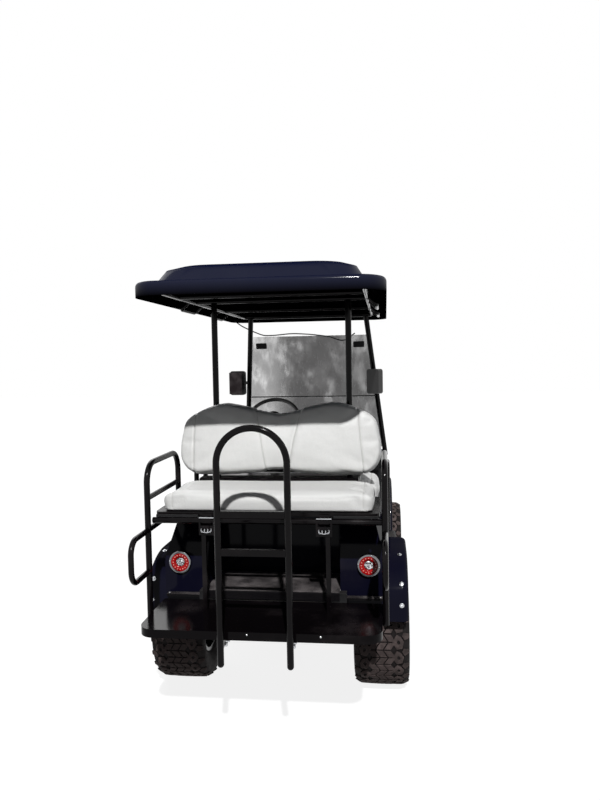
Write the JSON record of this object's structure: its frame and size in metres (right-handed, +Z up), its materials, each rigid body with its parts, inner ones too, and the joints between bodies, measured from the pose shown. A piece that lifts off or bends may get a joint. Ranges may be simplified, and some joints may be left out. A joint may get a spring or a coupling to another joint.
{
  "type": "four-seat golf cart with a rear-facing folding seat",
  "caption": "Lifted electric golf cart with a moulded roof, folding rear-facing seat, footplate and grab bar; it steers, rolls and folds its rear seat into a load deck.",
  "frame": {"origin": "on the ground under the middle of the cart's overall length and width", "axes": "+Y forward along the cart, +X to its right, +Z up"},
  "size_m": [1.288, 3.01, 2.0799],
  "materials": {
    "navy_body": "gloss",
    "black_frame": "gloss powder coat",
    "chassis_black": "satin",
    "black_plastic": "grained",
    "white_vinyl": "smooth vinyl",
    "tyre": "matte",
    "rim": "machined and black",
    "chrome": "polished",
    "red_lens": "clear red",
    "clear_lens": "clear",
    "pane": "smoked acrylic",
    "steel": "bare",
    "battery": "satin"
  },
  "bodies": {
    "cart": {"chassis_frame": "chassis_black", "floor_pan": "black_plastic", "rear_body": "navy_body", "bag_well": "black_plastic", "seat_base": "black_plastic", "battery_pack": "battery", "rocker_panels": "black_plastic", "wheel_flares": "navy_body", "front_cowl": "navy_body", "front_bumper": "black_frame", "dashboard": "black_plastic", "tail_lamp_bezels": "chrome", "tail_lamp_lenses": "red_lens", "headlight_lenses": "clear_lens", "front_backrest": "white_vinyl", "rear_backrest": "white_vinyl", "backrest_frame": "black_plastic", "rear_seat_frame": "black_frame", "armrests": "black_frame", "footplate": "black_frame", "grab_bar": "black_frame", "roof_struts": "black_frame", "roof_canopy": "navy_body", "roof_rails": "black_frame", "windshield": "pane", "windshield_fittings": "black_plastic", "driver_controls": "black_frame", "mirrors": "black_plastic", "rear_axle": "chassis_black", "springs_and_dampers": "steel", "front_axle": "chassis_black"},
    "rear_wheel_left": {"tyre_rear_left": "tyre", "rim_rear_left": "rim"},
    "rear_wheel_right": {"tyre_rear_right": "tyre", "rim_rear_right": "rim"},
    "knuckle_left": {"knuckle_left": "steel"},
    "knuckle_right": {"knuckle_right": "steel"},
    "front_wheel_left": {"tyre_front_left": "tyre", "rim_front_left": "rim"},
    "front_wheel_right": {"tyre_front_right": "tyre", "rim_front_right": "rim"},
    "track_rod": {"track_rod": "steel"},
    "steering_wheel": {"steering_wheel": "black_plastic"},
    "rear_seat": {"rear_cushion": "white_vinyl", "rear_deck": "black_frame"},
    "front_seat": {"front_cushion": "white_vinyl"}
  },
  "joints": [
    {"name": "rear_wheel_left_spin", "type": "hinge", "parent": "cart", "child": "rear_wheel_left", "pos_m": [-0.5065, -0.66, 0.29], "axis": [1, 0, 0], "continuous": true},
    {"name": "steer_left", "type": "hinge", "parent": "cart", "child": "knuckle_left", "pos_m": [-0.384, 1.01, 0.29], "axis": [0, 0, 1], "range_deg": [-27, 27]},
    {"name": "front_wheel_left_spin", "type": "hinge", "parent": "knuckle_left", "child": "front_wheel_left", "pos_m": [-0.5065, 1.01, 0.29], "axis": [1, 0, 0], "continuous": true},
    {"name": "rear_wheel_right_spin", "type": "hinge", "parent": "cart", "child": "rear_wheel_right", "pos_m": [0.5065, -0.66, 0.29], "axis": [1, 0, 0], "continuous": true},
    {"name": "steer_right", "type": "hinge", "parent": "cart", "child": "knuckle_right", "pos_m": [0.384, 1.01, 0.29], "axis": [0, 0, 1], "range_deg": [-27, 27]},
    {"name": "front_wheel_right_spin", "type": "hinge", "parent": "knuckle_right", "child": "front_wheel_right", "pos_m": [0.5065, 1.01, 0.29], "axis": [1, 0, 0], "continuous": true},
    {"name": "steering_wheel_turn", "type": "hinge", "parent": "cart", "child": "steering_wheel", "pos_m": [-0.21, 0.37, 1.272], "axis": [0, -0.7431, 0.6691], "range_deg": [-405, 405]},
    {"name": "track_rod_slide", "type": "slide", "parent": "cart", "child": "track_rod", "axis": [1, 0, 0], "range_m": [-0.0613, 0.0613]},
    {"name": "rear_seat_flip", "type": "hinge", "parent": "cart", "child": "rear_seat", "pos_m": [0, -1.201, 0.948], "axis": [1, 0, 0], "range_deg": [0, 100]},
    {"name": "front_seat_lift", "type": "hinge", "parent": "cart", "child": "front_seat", "pos_m": [0, 0.008, 0.864], "axis": [-1, 0, 0], "range_deg": [0, 80]}
  ],
  "couplings": [
    {"joint": "steer_right", "follows": "steer_left", "ratio": 1},
    {"joint": "steering_wheel_turn", "follows": "steer_left", "ratio": 15},
    {"joint": "track_rod_slide", "follows": "steer_left", "m_per_rad": 0.13}
  ]
}
